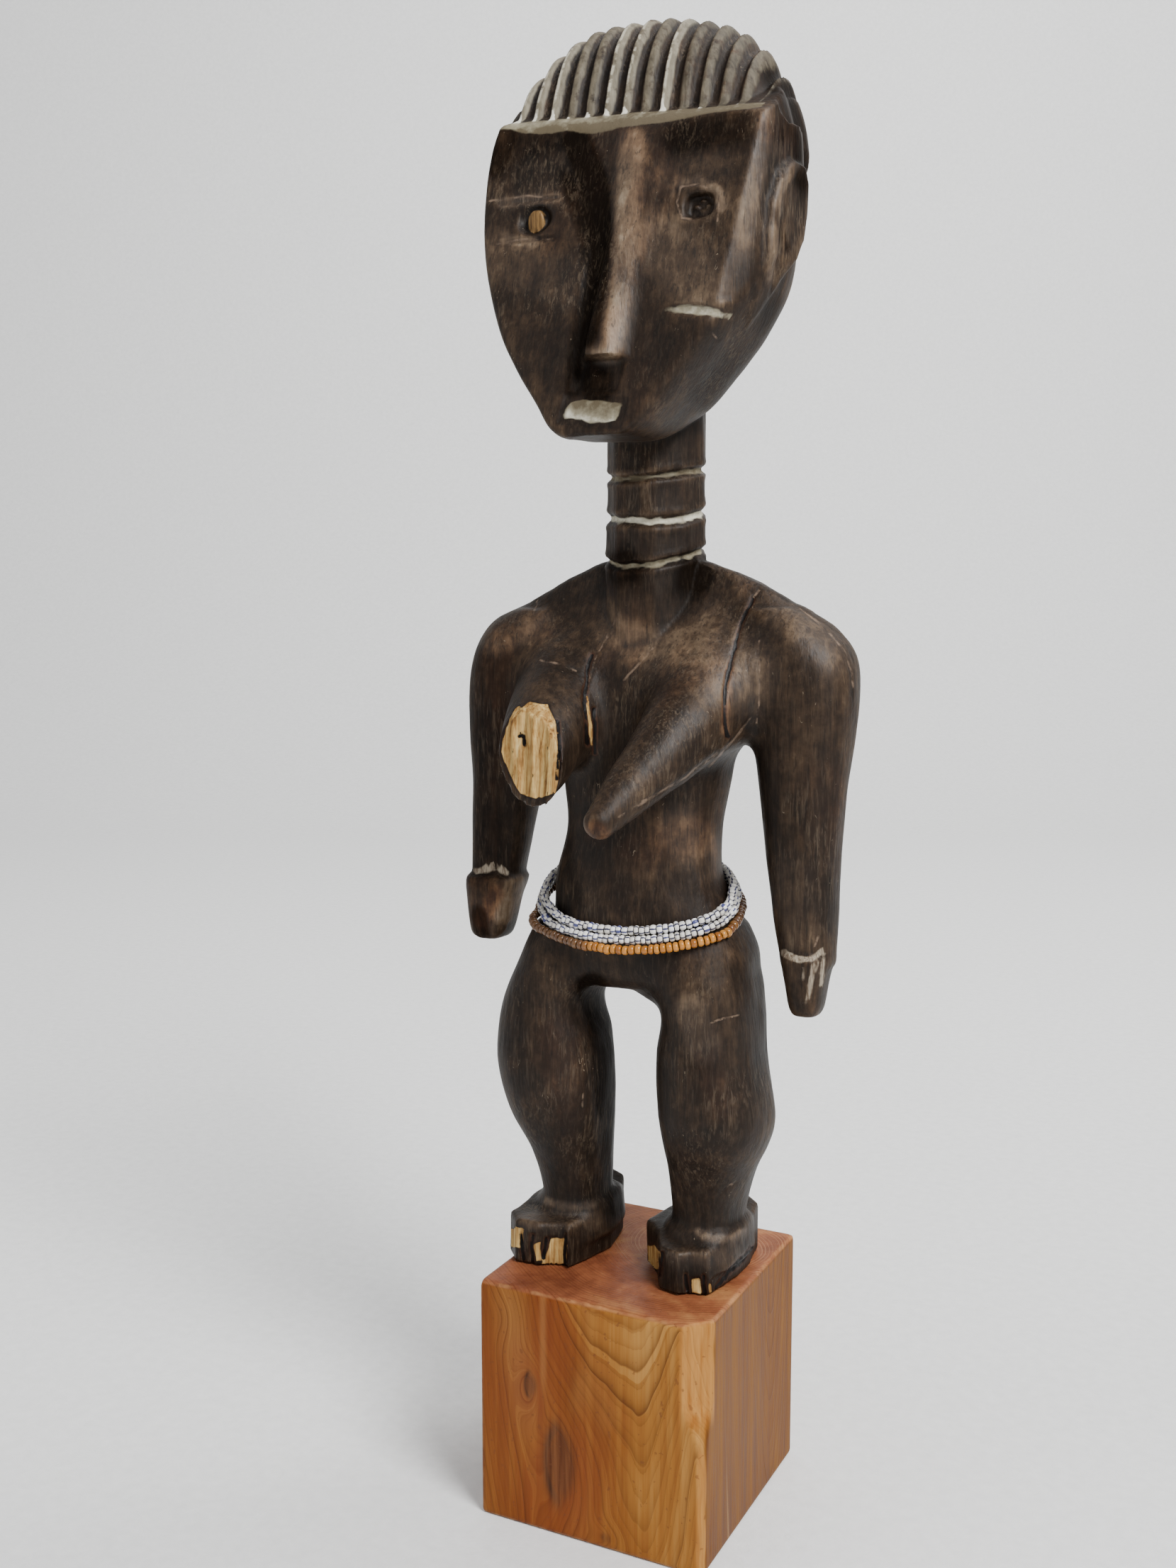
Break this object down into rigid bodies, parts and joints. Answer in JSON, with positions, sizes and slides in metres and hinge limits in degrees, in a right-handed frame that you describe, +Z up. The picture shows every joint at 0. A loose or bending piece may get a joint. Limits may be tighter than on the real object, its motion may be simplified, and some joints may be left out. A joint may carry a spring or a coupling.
{
  "type": "kulango statuette on a block",
  "caption": "Slender standing figure carved in dark wood, with ridged hair, a shield-shaped face, a ringed neck and strands of seed beads round the hips, on a reddish wooden block.",
  "frame": {"origin": "centre of the block's underside", "axes": "+Z up; the figure faces -Y and its left side is +X"},
  "size_m": [0.1012, 0.0787, 0.3608],
  "materials": {
    "dark_wood": "worn dark patina with grey-white chalk rubbed into the hair, the hairline and the neck rings",
    "block_wood": "smooth oiled reddish softwood with clear growth lines and knots",
    "white_beads": "opaque glossy glass with thin dark blue stripes along each bead",
    "ochre_beads": "opaque glossy ochre glass"
  },
  "bodies": {
    "root": {"figure": "dark_wood", "plinth_block": "block_wood", "beads_white_upper": "white_beads", "beads_white_lower": "white_beads", "beads_ochre": "ochre_beads"}
  },
  "joints": []
}
